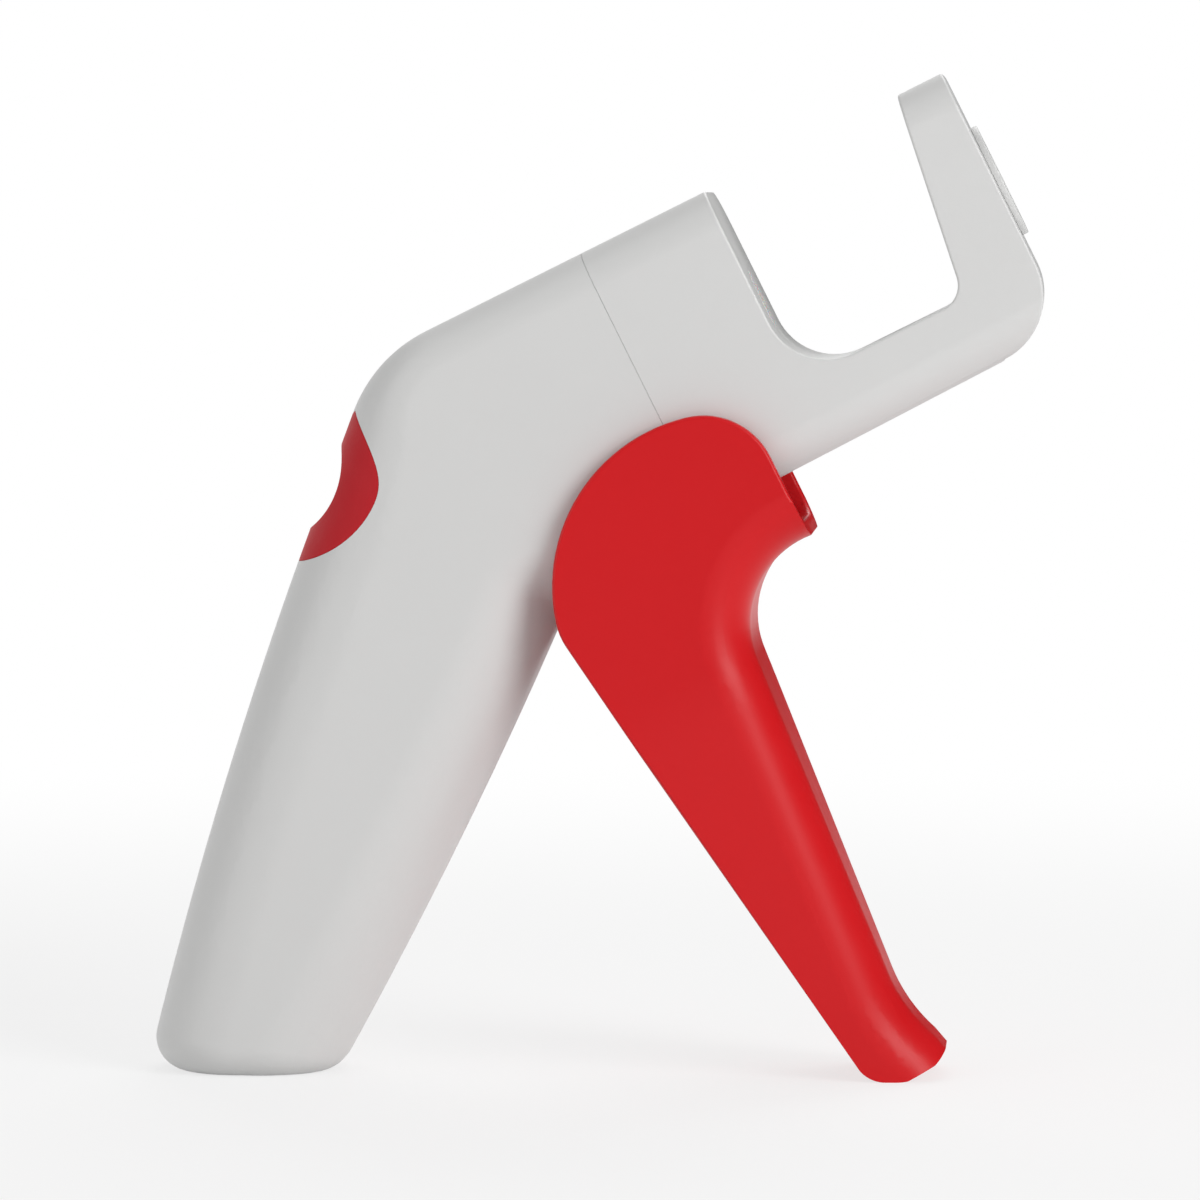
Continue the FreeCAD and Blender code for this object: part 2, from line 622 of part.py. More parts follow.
def face_normal():
    """Square to the lever's front wall, towards the inside of the channel."""
    return V(FRONT_DIR.z, 0, -FRONT_DIR.x)


def tail_frame(lift):
    """Places inside the lever's front wall: along it from the finger rest, and up from it."""
    start = FINGER + face_normal() * (FINGER_R + LEVER_WALL + lift)

    def at(along, up):
        return start + FRONT_DIR * along + face_normal() * up

    return at


def screw_places():
    return [TAIL_LENGTH * 0.35, TAIL_LENGTH * 0.78]


def lever_outline():
    """Corners and edges of the lever's side outline, with the corners still sharp."""
    hub_s = (HUB - HEAD_O).dot(ALONG)
    hub_h = (HUB - HEAD_O).dot(UP)
    crest = head(HUB_FRONT_S, hub_h + math.sqrt(HUB_R ** 2 - (HUB_FRONT_S - hub_s) ** 2))
    shoulder_h = (FINGER - HEAD_O).dot(UP) + FINGER_R
    shoulder = head(HUB_FRONT_S, shoulder_h)
    rear = V(BACK_DIR.z, 0, -BACK_DIR.x)
    foot = HUB + rear * BACK_EDGE
    heel = foot - BACK_DIR * math.sqrt(HUB_R ** 2 - BACK_EDGE ** 2)
    hub_top = HUB + (UP - ALONG).normalize() * HUB_R
    front_top = FINGER + face_normal() * FINGER_R
    finger_mid = FINGER + (face_normal() + UP).normalize() * FINGER_R
    front_low = front_top + FRONT_DIR * FRONT_RUN
    flare_centre = front_low - face_normal() * FLARE_R
    flare_end = flare_centre + turned(face_normal(), -FLARE_TURN) * FLARE_R
    flare_mid = flare_centre + turned(face_normal(), -FLARE_TURN / 2) * FLARE_R
    lip = V(PIVOT_X + TIP_X, 0, TIP_RISE)
    half_turn = math.acos(1 - TIP_RISE / TOE_R) / 2
    toe = lip - V(TOE_R * math.sin(2 * half_turn), 0, TIP_RISE)
    toe_middle = toe + V(TOE_R * math.sin(half_turn), 0, TOE_R * (1 - math.cos(half_turn)))
    sole = foot + BACK_DIR * (foot.z / math.cos(math.radians(BACK_LEAN)))
    front = [
        Part.Arc(shoulder, finger_mid, front_top).toShape(), Part.makeLine(front_top, front_low),
        Part.Arc(front_low, flare_mid, flare_end).toShape(), Part.makeLine(flare_end, lip),
    ]
    rest = [
        Part.Arc(lip, toe_middle, toe).toShape(), Part.makeLine(toe, sole), Part.makeLine(sole, heel),
        Part.Arc(heel, hub_top, crest).toShape(), Part.makeLine(crest, shoulder),
    ]
    return front, rest, dict(crest=crest, heel=heel, sole=sole)


def lever_width(inset):
    """Plan of the lever across its length: flat cheeks, then a taper to the tip."""
    middle = (FRONT_DIR + BACK_DIR).normalize()
    square = V(-middle.z, 0, middle.x)
    wide = CHEEK_OUTER - inset
    narrow = LEVER_TIP_HALF_WIDTH - inset

    def at(d, y):
        return PIVOT + middle * d + ACROSS * y - square * 70

    points = [
        at(-40, wide), at(TAPER_START, wide), at(TAPER_END, narrow),
        at(TAPER_END, -narrow), at(TAPER_START, -wide), at(-40, -wide),
    ]
    runs = zip(points, points[1:] + points[:1])
    plan = Part.Face(Part.Wire([Part.makeLine(a, b) for a, b in runs])).extrude(square * 140)
    shoulders = [points[1], points[4]]
    upright = [e for e in plan.Edges if (e.Vertexes[-1].Point - e.Vertexes[0].Point).Length > 100]
    bends = [e for e in upright if min((e.valueAt(e.FirstParameter) - p).Length for p in shoulders) < 0.1]
    return plan.makeFillet(TAPER_R, bends)


def side_edges(shape, curves):
    """Edges of a shape that run along the given side-view curves on either flank."""
    chosen = []
    for edge in shape.Edges:
        middle = edge.valueAt((edge.FirstParameter + edge.LastParameter) / 2)
        run = edge.Vertexes[-1].Point - edge.Vertexes[0].Point
        if abs(middle.y) < LEVER_TIP_HALF_WIDTH / 2 or abs(run.y) > 0.9 * run.Length:
            continue
        spot = Part.Vertex(V(middle.x, 0, middle.z))
        if min(spot.distToShape(curve)[0] for curve in curves) < 0.02:
            chosen.append(edge)
    return chosen


def round_along(shape, curves, radius):
    """Round the edges on both flanks that run along the given side-view curves."""
    grip = side_edges(shape, curves)
    numbered = enumerate(shape.Edges, 1)
    return round_edges(shape, [(n, radius, radius) for n, edge in numbered if any(edge.isSame(g) for g in grip)])


def make_lever_blank():
    """The lever's solid outer form, rounded along the finger side, with its corners turned."""
    front, rest, corners = lever_outline()
    blank = prism(front + rest, CHEEK_OUTER + 1).common(lever_width(0))
    blank = round_along(blank, front, GRIP_R)
    blank = round_at(blank, [corners["crest"]], HUB_CORNER_R)
    blank = round_at(blank, [corners["heel"]], HUB_HEEL_R)
    return round_at(blank, [corners["sole"]], SOLE_R)


def make_lever():
    """Two flat cheeks over a channel that rounds into the finger side and ends in a spoon-shaped tip."""
    lever = make_lever_blank()
    lever = lever.cut(lever_channel())
    boss = cross_rod(PIVOT_BOSS_R, PIVOT, BOSS_FACE, CHEEK_INNER + 0.5)
    for side in both_sides(boss).Solids:
        lever = lever.fuse(side)
    lever = lever.cut(cross_rod(BUSHING_R, PIVOT, -CHEEK_INNER, CHEEK_INNER))
    place = tail_frame(0)
    for along in screw_places():
        base = place(along, -LEVER_WALL / 2)
        lever = lever.fuse(Part.makeCylinder(FORK_BOSS_R, FORK_BOSS + LEVER_WALL / 2, base, face_normal()))
        lever = lever.cut(Part.makeCylinder(FORK_SCREW_R, 20, base, face_normal()))
    return lever


def lever_channel():
    """The open space between the cheeks and behind the front wall."""
    inner = FINGER_R + LEVER_WALL
    shoulder_s = (FINGER - HEAD_O).dot(ALONG)
    shoulder_h = (FINGER - HEAD_O).dot(UP) + inner
    at = tail_frame(0)
    finger_mid = FINGER + (face_normal() + UP).normalize() * inner
    floor = at(FRONT_RUN + 1.0, 0)
    points = [floor, floor + V(-60, 0, -22), V(PIVOT_X - 90, 0, 40), V(PIVOT_X - 60, 0, 160),
              head(60, 60), head(60, shoulder_h), head(shoulder_s, shoulder_h)]
    outline = [Part.makeLine(a, b) for a, b in zip(points, points[1:])]
    front = [outline[-1], Part.Arc(points[-1], finger_mid, at(0, 0)).toShape(), Part.makeLine(at(0, 0), floor)]
    channel = prism(outline[:-1] + front, CHEEK_OUTER + 5).common(lever_width(CHEEK_THICK))
    return round_along(channel, front, GRIP_R - LEVER_WALL)


def make_fork_screws():
    """Two pan-head screws that hold the fork's tail on the bosses inside the lever."""
    screws = []
    for along in screw_places():
        top = tail_frame(FORK_BOSS + TAIL_THICK)(along, 0)
        tip = tail_frame(0)(along, -LEVER_WALL / 2)
        shank = Part.makeCylinder(FORK_SCREW_R, (top - tip).Length, tip, face_normal())
        pan = Part.makeCylinder(FORK_SCREW_HEAD_R, FORK_SCREW_HEAD, top, face_normal())
        screws.append(shank.fuse(pan))
    return Part.makeCompound(screws)


def make_bushings():
    bush = cross_rod(BUSHING_R, PIVOT, BOSS_FACE, CHEEK_INNER)
    return both_sides(bush.cut(cross_rod(PIVOT_PIN_R + RUN_GAP, PIVOT, BOSS_FACE - 1, CHEEK_INNER + 1)))


def make_pivot_pin():
    half = CHEEK_INNER - SLIDE_GAP
    return cross_rod(PIVOT_PIN_R, PIVOT, -half, half)


def make_drive_pin():
    half = CARRIAGE_HALF_WIDTH
    return cross_rod(DRIVE_PIN_R, head(REST_S, 0), -half, half)


def make_spring_sleeve():
    """The spacer on the pivot pin that the spring is wound round."""
    half = FORK_INNER - SLIDE_GAP / 2
    sleeve = cross_rod(SLEEVE_R, PIVOT, -half, half)
    return sleeve.cut(cross_rod(PIVOT_PIN_R + RUN_GAP, PIVOT, -half - 1, half + 1))


def tangent_angle(target, arriving):
    """Angle on the coil where a straight leg from or to a place meets it, turning the way it is wound."""
    reach = target - PIVOT
    sight = math.atan2(-reach.dot(ALONG), reach.dot(UP))
    swing = math.acos(SPRING_COIL_R / reach.Length)
    return sight + swing if arriving else sight - swing


def least_gap(path):
    """Clear space between the wire and itself, from points along its centre line."""
    points = []
    for edge in path.Edges:
        first, last = edge.ParameterRange
        points += [edge.valueAt(first + (last - first) * i / 12) for i in range(12)]
    apart = min((p - q).Length for i, p in enumerate(points) for q in points[i + 24:])
    return apart - 2 * SPRING_WIRE_R


def make_spring():
    """The return spring: a leg under the casing behind the mouth, the coil, and a leg on the fork's tail."""
    above = head(-MOUTH_BACK - 2, underside(-MOUTH_BACK) - SPRING_WIRE_R - SLIDE_GAP / 2)
    below = tail_frame(FORK_BOSS + TAIL_THICK + SPRING_WIRE_R + SLIDE_GAP / 2)(TAIL_LENGTH * 0.15, 0)
    start = tangent_angle(above, True)
    end = tangent_angle(below, False)
    while end - start < 2 * math.pi * (SPRING_TURNS - 0.5):
        end += 2 * math.pi
    steps = math.ceil((end - start) / (math.pi / 2))
    rise = SPRING_PITCH * (end - start) / (2 * math.pi)

    def on_coil(share):
        angle = start + (end - start) * share
        around = UP * math.cos(angle) - ALONG * math.sin(angle)
        return PIVOT + around * SPRING_COIL_R + ACROSS * (rise * (share - 0.5))

    arcs = [Part.Arc(on_coil(i / steps), on_coil((i + 0.5) / steps), on_coil((i + 1) / steps)).toShape()
            for i in range(steps)]
    into = arcs[0].tangentAt(arcs[0].FirstParameter)
    out = arcs[-1].tangentAt(arcs[-1].LastParameter)
    first_leg = math.sqrt((above - PIVOT).Length ** 2 - SPRING_COIL_R ** 2)
    last_leg = math.sqrt((below - PIVOT).Length ** 2 - SPRING_COIL_R ** 2)
    free_end = on_coil(0) - into * first_leg
    upper = Part.makeLine(free_end, on_coil(0))
    lower = Part.makeLine(on_coil(1), on_coil(1) + out * last_leg)
    path = Part.Wire([upper] + arcs + [lower])
    print("spring clear of itself by", round(least_gap(path), 3), "mm")
    profile = Part.Wire(Part.makeCircle(SPRING_WIRE_R, free_end, into))
    return path.makePipeShell([profile], True, False)


if __name__ == "__main__":
    os.makedirs("parts", exist_ok=True)
    outer = casing()
    rim = [e for e in outer.Edges if max(v.Z for v in e.Vertexes) < 0.01]
    outer = outer.makeFillet(BASE_EDGE_R, rim)
    builders = {
        "body_shell": lambda: make_body_shell(outer),
        "thumb_pad": lambda: make_thumb_pad(outer),
        "bottom_cap": make_bottom_cap,
        "nose_cradle": make_nose,
        "exit_ring": make_exit_ring,
        "carriage_guide": make_guide,
        "plunger_carriage": make_carriage,
        "pitting_rod": make_rod,
        "rod_bush": make_rod_bush,
        "rod_seal": make_rod_seal,
        "rod_bumper": make_rod_bumper,
        "drive_pin": make_drive_pin,
        "drive_rollers": make_rollers,
        "drive_fork": make_fork,
        "fork_screws": make_fork_screws,
        "lever": make_lever,
        "pivot_pin": make_pivot_pin,
        "pivot_bushings": make_bushings,
        "spring_sleeve": make_spring_sleeve,
        "return_spring": make_spring,
    }
    for name, build in builders.items():
        shape = build()
        print(name, len(shape.Solids), round(shape.Volume, 1), shape.isValid())
        shape.exportStep("parts/" + name + ".step")
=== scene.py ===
"""Dresses a hand-held fruit pitter: white moulded casing, red squeeze lever, thumb pad and mechanism."""
import math

import bmesh
import bpy
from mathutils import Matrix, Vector
from mathutils.bvhtree import BVHTree


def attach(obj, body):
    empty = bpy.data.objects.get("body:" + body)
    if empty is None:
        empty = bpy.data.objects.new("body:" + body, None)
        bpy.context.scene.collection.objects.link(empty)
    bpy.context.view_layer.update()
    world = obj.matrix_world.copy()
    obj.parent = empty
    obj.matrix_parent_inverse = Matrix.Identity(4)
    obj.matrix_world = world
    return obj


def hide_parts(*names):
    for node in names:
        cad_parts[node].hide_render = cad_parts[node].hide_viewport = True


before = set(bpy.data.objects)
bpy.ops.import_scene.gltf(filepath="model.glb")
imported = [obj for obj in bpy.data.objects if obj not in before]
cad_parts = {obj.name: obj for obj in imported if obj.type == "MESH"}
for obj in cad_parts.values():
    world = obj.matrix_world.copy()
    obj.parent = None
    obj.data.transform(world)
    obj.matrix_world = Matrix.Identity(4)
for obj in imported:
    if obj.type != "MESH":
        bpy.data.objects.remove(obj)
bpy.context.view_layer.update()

bl_info = {
    "name": "Fruit Pitter",
    "version": (1, 0, 0),
    "blender": (4, 5, 0),
    "location": "View3D > Sidebar > Pitter",
    "description": "Builds the looks of a hand-held fruit pitter with a squeeze lever",
    "category": "Object",
}

MM = 0.001

# The head rises at this angle, and its two halves part in a plane through this spot across it
HEAD_RISE = math.radians(26.5)
HEAD_AXIS = Vector((math.cos(HEAD_RISE), 0.0, math.sin(HEAD_RISE)))
PARTING_SPOT = Vector((0.006116, 0.0, 0.1069))
PARTING_SLACK = 0.05 * MM

# Which edges are corners, and where a rolled edge has the room to follow them
WELD = 0.002 * MM
FLAT_ANGLE = math.radians(0.08)
CORNER_ANGLE = math.radians(32)
FADE_ANGLE = math.radians(25)
ROOM_SHARE = 1.3
LOOK_FROM = 0.2 * MM
LOOK_REACH = 60 * MM
PARTING_WEIGHT = 0.45
NO_ROLL = 0.0
LEVER_TOE_TOP = 9 * MM

# Stage
STAGE_AIM = (0.0, 0.0, 0.07)
FLOOR_HALF = 6.0
CARD_HALF = 1.4
FLOOR_GLOW = 0.72
FLOOR_FADE_FROM = 0.16
FLOOR_FADE_TO = 0.55
WORLD_LIGHT = 0.42
SENSOR = 36.0


# Sizes and colours a user would change
class PitterSizes(bpy.types.PropertyGroup):
    casing_edge: bpy.props.FloatProperty(
        name="Casing edge", description="Radius of the casing's moulded edges",
        default=0.0004, unit="LENGTH")
    lever_edge: bpy.props.FloatProperty(
        name="Lever edge", description="Radius of the lever's moulded edges",
        default=0.0005, unit="LENGTH")
    fine_edge: bpy.props.FloatProperty(
        name="Fine edge", description="Radius of the edges on small parts",
        default=0.0002, unit="LENGTH")


class PitterColours(bpy.types.PropertyGroup):
    casing: bpy.props.StringProperty(
        name="Casing", description="Colour of the moulded casing", default="DCDCDB")
    casing_shade: bpy.props.StringProperty(
        name="Casing shade", description="Colour of the casing's darker flow marks", default="D6D6D5")
    lever: bpy.props.StringProperty(
        name="Lever", description="Colour of the moulded lever", default="D60A14")
    lever_shade: bpy.props.StringProperty(
        name="Lever shade", description="Colour of the lever's darker flow marks", default="CC0811")
    pad: bpy.props.StringProperty(
        name="Thumb pad", description="Colour of the soft thumb pad", default="C0121F")
    guide: bpy.props.StringProperty(
        name="Guide", description="Colour of the nylon guide inside the head", default="B9BBBC")
    acetal: bpy.props.StringProperty(
        name="Acetal", description="Colour of the natural acetal sliders", default="EDEAE0")
    steel: bpy.props.StringProperty(
        name="Steel", description="Colour of the stainless steel rod and pins", default="C9C8C5")
    seal: bpy.props.StringProperty(
        name="Seal", description="Colour of the silicone seal", default="D9DADA")


class PitterCamera(bpy.types.PropertyGroup):
    azimuth: bpy.props.FloatProperty(
        name="Azimuth", description="Camera's turn towards the nose",
        default=math.radians(4.0), unit="ROTATION")
    elevation: bpy.props.FloatProperty(
        name="Elevation", description="Camera's height angle",
        default=math.radians(3.5), unit="ROTATION")
    distance: bpy.props.FloatProperty(
        name="Distance", description="Camera to object",
        default=1.0, unit="LENGTH")
    span: bpy.props.FloatProperty(
        name="Span", description="Width of the picture at the object",
        default=0.180, unit="LENGTH")
    middle_x: bpy.props.FloatProperty(
        name="Middle X", description="What the camera looks at, along the object",
        default=0.0003, unit="LENGTH")
    middle_z: bpy.props.FloatProperty(
        name="Middle Z", description="What the camera looks at, above the floor",
        default=0.0709, unit="LENGTH")


# Materials
def linear(code):
    """An sRGB hex colour as linear RGBA."""
    parts = [int(code[i:i + 2], 16) / 255 for i in (0, 2, 4)]
    return tuple(c / 12.92 if c <= 0.04045 else ((c + 0.055) / 1.055) ** 2.4 for c in parts) + (1.0,)


def add_node(tree, kind, settings=None, links=None):
    """Add a node, set its properties and input values, and link its inputs."""
    node = tree.nodes.new(kind)
    for key, value in (settings or {}).items():
        if hasattr(node, key):
            setattr(node, key, value)
        else:
            node.inputs[key].default_value = value
    for key, source in (links or {}).items():
        tree.links.new(source, node.inputs[key])
    return node


def start_material(name, settings):
    """A new material with a Principled shader holding its constant values."""
    material = bpy.data.materials.new(name)
    material.use_nodes = True
    tree = material.node_tree
    shader = tree.nodes["Principled BSDF"]
    for key, value in settings.items():
        shader.inputs[key].default_value = value
    place = add_node(tree, "ShaderNodeTexCoord").outputs["Object"]
    return material, tree, shader, place


def grain(tree, place, period, detail=2.0):
    """Soft noise whose blotches measure one period, in metres."""
    noise = add_node(tree, "ShaderNodeTexNoise", {"Scale": 1 / period, "Detail": detail}, {"Vector": place})
    return noise.outputs["Fac"]


def spread(tree, value, low, high):
    """Map a 0 to 1 value onto a range."""
    span = add_node(tree, "ShaderNodeMapRange", {"To Min": low, "To Max": high}, {"Value": value})
    return span.outputs["Result"]


def moulded_abs(name, colour, shade, rough, texture_height, shine):
    """Injection-moulded ABS with a spark-eroded texture: satin, with a soft and slightly broken highlight."""
    material, tree, shader, place = start_material(name, {"IOR": 1.53, "Specular IOR Level": shine})
    flow = grain(tree, place, 28 * MM, 1.0)
    tint = add_node(tree, "ShaderNodeMix", {"data_type": "RGBA"}, {"Factor": spread(tree, flow, 0.0, 0.5)})
    # A colour Mix node's A and B are its inputs 6 and 7, and its colour comes from output 2.
    tint.inputs[6].default_value = linear(colour)
    tint.inputs[7].default_value = linear(shade)
    tree.links.new(tint.outputs[2], shader.inputs["Base Color"])
    gloss = spread(tree, grain(tree, place, 6 * MM), rough - 0.04, rough + 0.05)
    tree.links.new(gloss, shader.inputs["Roughness"])
    sink = grain(tree, place, 9 * MM, 0.0)
    waves = add_node(tree, "ShaderNodeBump", {"Strength": 0.2, "Distance": 0.05 * MM}, {"Height": sink})
    # The mould's texture is about 0.1 mm; it is drawn at 0.45 mm so that it still shows.
    fine = grain(tree, place, 0.45 * MM, 3.0)
    bump = add_node(tree, "ShaderNodeBump", {"Strength": 0.5, "Distance": texture_height},
                    {"Height": fine, "Normal": waves.outputs["Normal"]})
    tree.links.new(bump.outputs["Normal"], shader.inputs["Normal"])
    return material


def soft_elastomer(name, colour):
    """Moulded thermoplastic rubber: matt, with a dull highlight and a fine pebble."""
    material, tree, shader, place = start_material(name, {"IOR": 1.5, "Specular IOR Level": 0.3})
    shader.inputs["Base Color"].default_value = linear(colour)
    tree.links.new(spread(tree, grain(tree, place, 3 * MM), 0.5, 0.62), shader.inputs["Roughness"])
    # Real pebble is about 0.15 mm; it is drawn at 0.5 mm so that it still shows.
    cells = add_node(tree, "ShaderNodeTexVoronoi", {"Scale": 1 / (0.5 * MM)}, {"Vector": place})
    bump = add_node(tree, "ShaderNodeBump", {"Strength": 0.4, "Distance": 0.03 * MM},
                    {"Height": cells.outputs["Distance"]})
    tree.links.new(bump.outputs["Normal"], shader.inputs["Normal"])
    return material


def moulded_slider(name, colour, rough):
    """Moulded acetal or nylon: waxy, faintly see-through, with a dull broad highlight."""
    material, tree, shader, place = start_material(
        name, {"IOR": 1.48, "Subsurface Weight": 0.12, "Subsurface Scale": 1.2 * MM})
    shader.inputs["Base Color"].default_value = linear(colour)
    gloss = spread(tree, grain(tree, place, 2 * MM), rough - 0.05, rough + 0.08)
    tree.links.new(gloss, shader.inputs["Roughness"])
    # The mould's own skin is about 0.1 mm; it is drawn at 0.4 mm so that it still shows.
    fine = grain(tree, place, 0.4 * MM, 2.0)
    bump = add_node(tree, "ShaderNodeBump", {"Strength": 0.25, "Distance": 0.02 * MM}, {"Height": fine})
    tree.links.new(bump.outputs["Normal"], shader.inputs["Normal"])
    return material


def drawn_steel(name, colour, stretch):
    """Ground or drawn stainless steel: bright, with fine lines where the pattern is stretched."""
    material, tree, shader, place = start_material(name, {"Metallic": 1.0, "Anisotropic": 0.4})
    shader.inputs["Base Color"].default_value = linear(colour)
    stretched = add_node(tree, "ShaderNodeMapping", {"Scale": stretch}, {"Vector": place}).outputs["Vector"]
    # Real lines are about 0.05 mm apart; they are drawn at 0.25 mm so that they still show.
    lines = grain(tree, stretched, 0.25 * MM, 2.0)
    tree.links.new(spread(tree, lines, 0.18, 0.34), shader.inputs["Roughness"])
    bump = add_node(tree, "ShaderNodeBump", {"Strength": 0.12, "Distance": 0.01 * MM}, {"Height": lines})
    tree.links.new(bump.outputs["Normal"], shader.inputs["Normal"])
    return material


def moulded_silicone(name, colour):
    """Moulded silicone: milky, soft and slightly glossy."""
    material, tree, shader, place = start_material(
        name, {"IOR": 1.41, "Subsurface Weight": 0.4, "Subsurface Scale": 1.5 * MM})
    shader.inputs["Base Color"].default_value = linear(colour)
    tree.links.new(spread(tree, grain(tree, place, 1.5 * MM), 0.35, 0.45), shader.inputs["Roughness"])
    return material


def finishes():
    """Every finish of the object by its name, made once."""
    colours = bpy.context.scene.pitter_colours
    if not bpy.data.materials.get("white_abs_moulded"):
        moulded_abs("white_abs_moulded", colours.casing, colours.casing_shade, 0.40, 0.012 * MM, 0.5)
        moulded_abs("red_abs_moulded", colours.lever, colours.lever_shade, 0.38, 0.008 * MM, 0.3)
        soft_elastomer("red_rubber_moulded", colours.pad)
        moulded_slider("grey_nylon_moulded", colours.guide, 0.5)
        moulded_slider("natural_acetal_moulded", colours.acetal, 0.42)
        drawn_steel("stainless_steel_ground", colours.steel, (0.08, 1.0, 0.08))
        drawn_steel("spring_steel_drawn", colours.steel, (1.0, 1.0, 1.0))
        moulded_silicone("silicone_seal_moulded", colours.seal)
    return bpy.data.materials


def paint(thing, material):
    """Give an object one finish on its only slot."""
    thing.data.materials.clear()
    thing.data.materials.append(finishes()[material])


# Pieces
def is_corner(edge):
    """Whether two faces meet here at more than a soft angle."""
    return len(edge.link_faces) == 2 and edge.calc_face_angle() >= CORNER_ANGLE


def is_outside(edge, tree):
    """Whether an edge looks away from the piece, and not into one of its hollows."""
    middle = (edge.verts[0].co + edge.verts[1].co) / 2
    outward = (edge.link_faces[0].normal + edge.link_faces[1].normal).normalized()
    return tree.ray_cast(middle + outward * LOOK_FROM, outward, LOOK_REACH)[0] is None


def room_beside(edge):
    """How wide the narrower of the two faces beside an edge is."""
    start, end = (vert.co for vert in edge.verts)
    along = (end - start).normalized()
    return min(max((vert.co - start).cross(along).length for vert in face.verts)
               for face in edge.link_faces)


def roll_weight(edge):
    """Share of the rolled edge's width: less where a corner softens, and on the parting line."""
    weight = min(1.0, (edge.calc_face_angle() - CORNER_ANGLE) / FADE_ANGLE)
    if abs((edge.verts[0].co - PARTING_SPOT).dot(HEAD_AXIS)) < PARTING_SLACK:
        weight = min(weight, PARTING_WEIGHT)
    return weight


def mark_corners(shape, width, bare_below):
    """Give outer corners with room a rolled edge, and keep the other corners crisp."""
    layer = shape.edges.layers.float.new("bevel_weight_edge")
    tree = BVHTree.FromBMesh(shape)
    for edge in filter(is_corner, shape.edges):
        middle_height = (edge.verts[0].co.z + edge.verts[1].co.z) / 2
        roomy = room_beside(edge) >= ROOM_SHARE * width and middle_height >= bare_below
        if width and roomy and edge.is_convex and is_outside(edge, tree):
            edge[layer] = roll_weight(edge)
        else:
            edge.smooth = False


def moulding(name, node, body, material, edge, bare_below=-1.0):
    """A clean copy of a solid piece with flat faces merged, rolled edges and smooth shading."""
    shape = bmesh.new()
    shape.from_mesh(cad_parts[node].data)
    bmesh.ops.remove_doubles(shape, verts=shape.verts, dist=WELD)
    bmesh.ops.dissolve_degenerate(shape, dist=WELD, edges=shape.edges)
    bmesh.ops.dissolve_limit(shape, angle_limit=FLAT_ANGLE, verts=shape.verts, edges=shape.edges,
                             delimit={"NORMAL"})
    for face in shape.faces:
        face.smooth = True
    mark_corners(shape, edge, bare_below)
    mesh = bpy.data.meshes.new(name)
    shape.to_mesh(mesh)
    shape.free()
    piece = bpy.data.objects.new(name, mesh)
    bpy.context.scene.collection.objects.link(piece)
    if edge:
        bevel = piece.modifiers.new("rolled_edge", "BEVEL")
        bevel.width = edge
        bevel.segments = 3
        bevel.limit_method = "WEIGHT"
        bevel.use_clamp_overlap = False
    shading = piece.modifiers.new("flat_faces_stay_flat", "WEIGHTED_NORMAL")
    shading.mode = "FACE_AREA"
    shading.keep_sharp = True
    paint(piece, material)
    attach(piece, body)
    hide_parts(node)
    return piece


class PITTER_OT_casing(bpy.types.Operator):
    """Build the white casing: handle and elbow, nose with its cradle, base cap and exit ring"""
    bl_idname = "pitter.casing"
    bl_label = "Casing"

    def execute(self, context):
        edge = context.scene.pitter_sizes.casing_edge
        moulding("handle_casing", "body_shell", "casing", "white_abs_moulded", NO_ROLL)
        moulding("cradle_nose", "nose_cradle", "casing", "white_abs_moulded", edge)
        moulding("base_cap", "bottom_cap", "casing", "white_abs_moulded", edge / 2)
        moulding("exit_collar", "exit_ring", "casing", "white_abs_moulded", edge / 2)
        return {"FINISHED"}


class PITTER_OT_thumb_pad(bpy.types.Operator):
    """Build the soft saddle for the thumb, let into the back of the elbow"""
    bl_idname = "pitter.thumb_pad"
    bl_label = "Thumb pad"

    def execute(self, context):
        moulding("thumb_saddle", "thumb_pad", "casing", "red_rubber_moulded",
                 context.scene.pitter_sizes.fine_edge)
        return {"FINISHED"}


class PITTER_OT_lever(bpy.types.Operator):
    """Build the red squeeze lever with its two cheeks and spoon tip"""
    bl_idname = "pitter.lever"
    bl_label = "Lever"

    def execute(self, context):
        moulding("squeeze_lever", "lever", "lever", "red_abs_moulded",
                 context.scene.pitter_sizes.lever_edge, bare_below=LEVER_TOE_TOP)
        return {"FINISHED"}


class PITTER_OT_mechanism(bpy.types.Operator):
    """Finish the sliding carriage, rod, fork, pins, bushes, seal and spring"""
    bl_idname = "pitter.mechanism"
    bl_label = "Mechanism"

    def execute(self, context):
        dressed = {
            "grey_nylon_moulded": ("carriage_guide", "drive_fork"),
            "natural_acetal_moulded": ("plunger_carriage", "drive_rollers", "rod_bush",
                                       "pivot_bushings", "spring_sleeve"),
            "stainless_steel_ground": ("pitting_rod", "drive_pin", "pivot_pin", "fork_screws"),
            "spring_steel_drawn": ("return_spring",),
            "silicone_seal_moulded": ("rod_seal", "rod_bumper"),
        }
        for material, nodes in dressed.items():
            for node in nodes:
                paint(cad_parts[node], material)
        return {"FINISHED"}


# Stage
def flat_square(name, half):
    """A square on the XY plane."""
    shape = bmesh.new()
    bmesh.ops.create_grid(shape, x_segments=1, y_segments=1, size=half)
    mesh = bpy.data.meshes.new(name)
    shape.to_mesh(mesh)
    shape.free()
    square = bpy.data.objects.new(name, mesh)
    bpy.context.scene.collection.objects.link(square)
    return square


def area_light(name, spot, size, power):
    """A soft round box of light that faces the object."""
    lamp = bpy.data.lights.new(name, "AREA")
    lamp.shape = "DISK"
    lamp.size = size
    lamp.energy = power
    holder = bpy.data.objects.new(name, lamp)
    holder.location = spot
    holder.rotation_euler = (Vector(STAGE_AIM) - Vector(spot)).to_track_quat("-Z", "Y").to_euler()
    bpy.context.scene.collection.objects.link(holder)
    return holder


